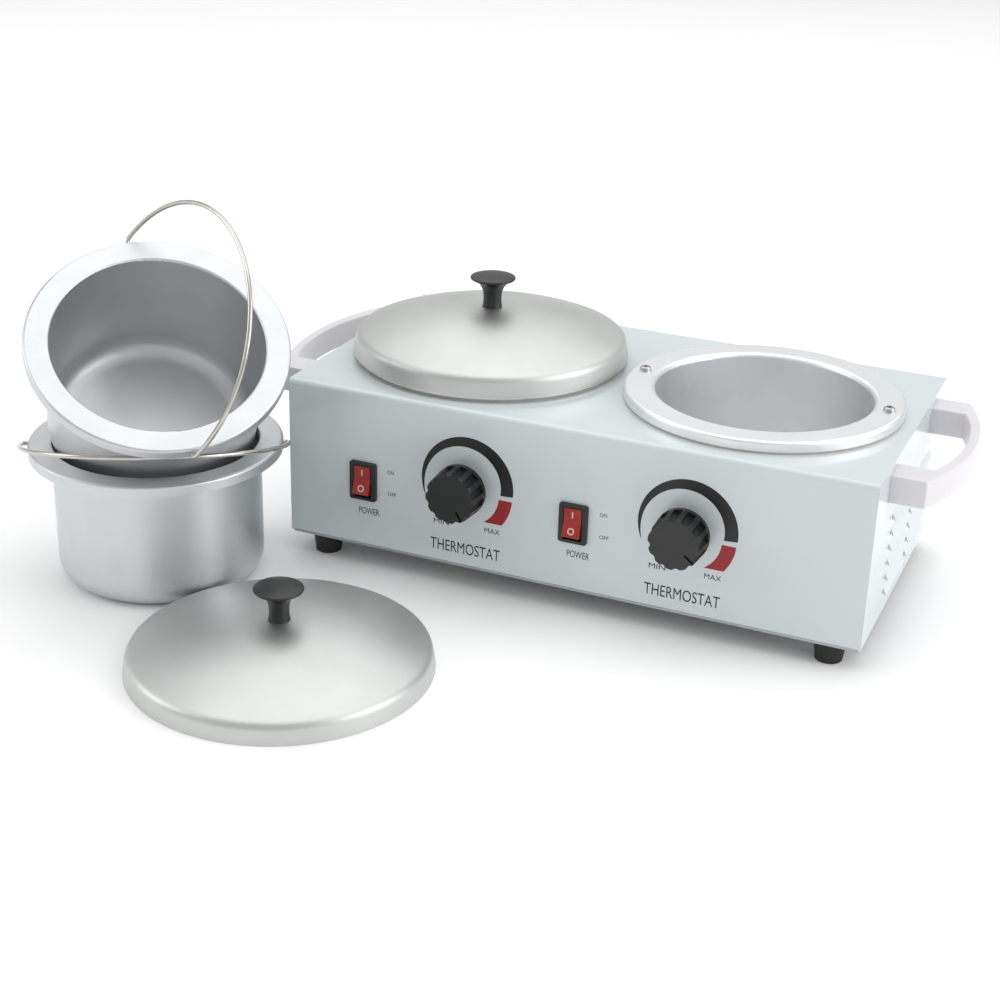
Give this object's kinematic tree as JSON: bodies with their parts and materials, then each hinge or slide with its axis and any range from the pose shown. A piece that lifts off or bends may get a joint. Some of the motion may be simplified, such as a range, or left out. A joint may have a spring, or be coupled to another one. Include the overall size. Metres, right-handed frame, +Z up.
{
  "type": "double wax warmer",
  "caption": "White sheet-metal tabletop wax heater with round wells, dial thermostats and rocker switches, side handles, lift-off lids and bail-handled aluminium wax pots.",
  "frame": {"origin": "on the table, in the middle between the four feet of the heater box", "axes": "+X to the right along the control panel, +Y to the back, +Z up"},
  "size_m": [0.4488, 0.3502, 0.1955],
  "materials": {
    "painted_sheet": "gloss white powder coat",
    "galvanised_sheet": "zinc plated",
    "white_abs": "gloss moulded",
    "black_rubber": "matt",
    "screw_steel": "zinc plated",
    "spun_aluminium": "satin anodised",
    "silicone": "matt",
    "band_steel": "satin",
    "black_phenolic": "satin moulded",
    "red_rocker": "gloss",
    "brass_fittings": "tin or bare brass",
    "spindle_steel": "turned",
    "bail_wire": "bright drawn",
    "ceramic": "glazed",
    "wire_insulation": "silicone sleeve"
  },
  "bodies": {
    "warmer": {"band_bolts": "screw_steel", "base_plate": "galvanised_sheet", "base_screws": "screw_steel", "bulb_clips": "galvanised_sheet", "control_wires": "wire_insulation", "earth_stud": "screw_steel", "earth_wire": "wire_insulation", "end_panel_left": "painted_sheet", "end_panel_right": "painted_sheet", "flange_nuts": "screw_steel", "flange_screws": "screw_steel", "flange_spacers": "screw_steel", "foot_back_left": "black_rubber", "foot_back_right": "black_rubber", "foot_front_left": "black_rubber", "foot_front_right": "black_rubber", "foot_nuts": "screw_steel", "foot_screws": "screw_steel", "handle_left": "white_abs", "handle_right": "white_abs", "handle_screws": "screw_steel", "heater_band_left": "band_steel", "heater_band_right": "band_steel", "housing_shell": "painted_sheet", "inlet_pins": "brass_fittings", "inlet_screws": "screw_steel", "power_inlet": "black_phenolic", "sensor_left": "brass_fittings", "sensor_right": "brass_fittings", "supply_wires": "wire_insulation", "switch_housing_left": "black_phenolic", "switch_housing_right": "black_phenolic", "switch_terminals": "brass_fittings", "terminal_block": "ceramic", "terminal_screws": "screw_steel", "thermostat_bushes": "brass_fittings", "thermostat_left": "black_phenolic", "thermostat_nuts": "screw_steel", "thermostat_right": "black_phenolic", "thermostat_terminals": "brass_fittings", "well_gasket_left": "silicone", "well_gasket_right": "silicone", "well_left": "spun_aluminium", "well_right": "spun_aluminium"},
    "knob_left": {"knob_left": "black_phenolic", "thermostat_shaft_left": "spindle_steel"},
    "knob_right": {"knob_right": "black_phenolic", "thermostat_shaft_right": "spindle_steel"},
    "rocker_left": {"rocker_left": "red_rocker"},
    "rocker_right": {"rocker_right": "red_rocker"},
    "lid_left": {"lid_left": "spun_aluminium", "lid_knob_left": "black_phenolic", "lid_screw_left": "screw_steel"},
    "lid_right": {"lid_right": "spun_aluminium", "lid_knob_right": "black_phenolic", "lid_screw_right": "screw_steel"},
    "pot_lower": {"pot_lower": "spun_aluminium"},
    "pot_upper": {"pot_upper": "spun_aluminium"},
    "bail_lower": {"bail_lower": "bail_wire"},
    "bail_upper": {"bail_upper": "bail_wire"}
  },
  "joints": [
    {"name": "knob_left_turn", "type": "hinge", "parent": "warmer", "child": "knob_left", "pos_m": [-0.0515, -0.081, 0.0581], "axis": [0, 1, 0], "range_deg": [-297, 3]},
    {"name": "knob_right_turn", "type": "hinge", "parent": "warmer", "child": "knob_right", "pos_m": [0.0641, -0.081, 0.0581], "axis": [0, 1, 0], "range_deg": [-276, 24]},
    {"name": "rocker_left_tip", "type": "hinge", "parent": "warmer", "child": "rocker_left", "pos_m": [-0.1094, -0.079, 0.04875], "axis": [1, 0, 0], "range_deg": [0, 20]},
    {"name": "rocker_right_tip", "type": "hinge", "parent": "warmer", "child": "rocker_right", "pos_m": [0.0062, -0.079, 0.04875], "axis": [1, 0, 0], "range_deg": [0, 20]},
    {"name": "lid_left_lift", "type": "slide", "parent": "warmer", "child": "lid_left", "axis": [0, 0, 1], "range_m": [0, 0.1]},
    {"name": "lid_right_lift", "type": "slide", "parent": "warmer", "child": "lid_right", "axis": [0.6012, -0.4008, 0.6913], "range_m": [0, 0.15]},
    {"name": "pot_lower_lift", "type": "slide", "parent": "warmer", "child": "pot_lower", "axis": [0, 0, 1], "range_m": [0, 0.1]},
    {"name": "pot_upper_lift", "type": "slide", "parent": "pot_lower", "child": "pot_upper", "axis": [0.3747, -0.4147, 0.8292], "range_m": [0, 0.1]},
    {"name": "bail_lower_swing", "type": "hinge", "parent": "pot_lower", "child": "bail_lower", "pos_m": [-0.2031, -0.127, 0.069], "axis": [0.8829, 0.4695, 0], "range_deg": [-3, 58]},
    {"name": "bail_upper_swing", "type": "hinge", "parent": "pot_upper", "child": "bail_upper", "pos_m": [-0.18703, -0.14479, 0.12852], "axis": [0.6161, -0.557, -0.5569], "range_deg": [-70, 125]}
  ]
}
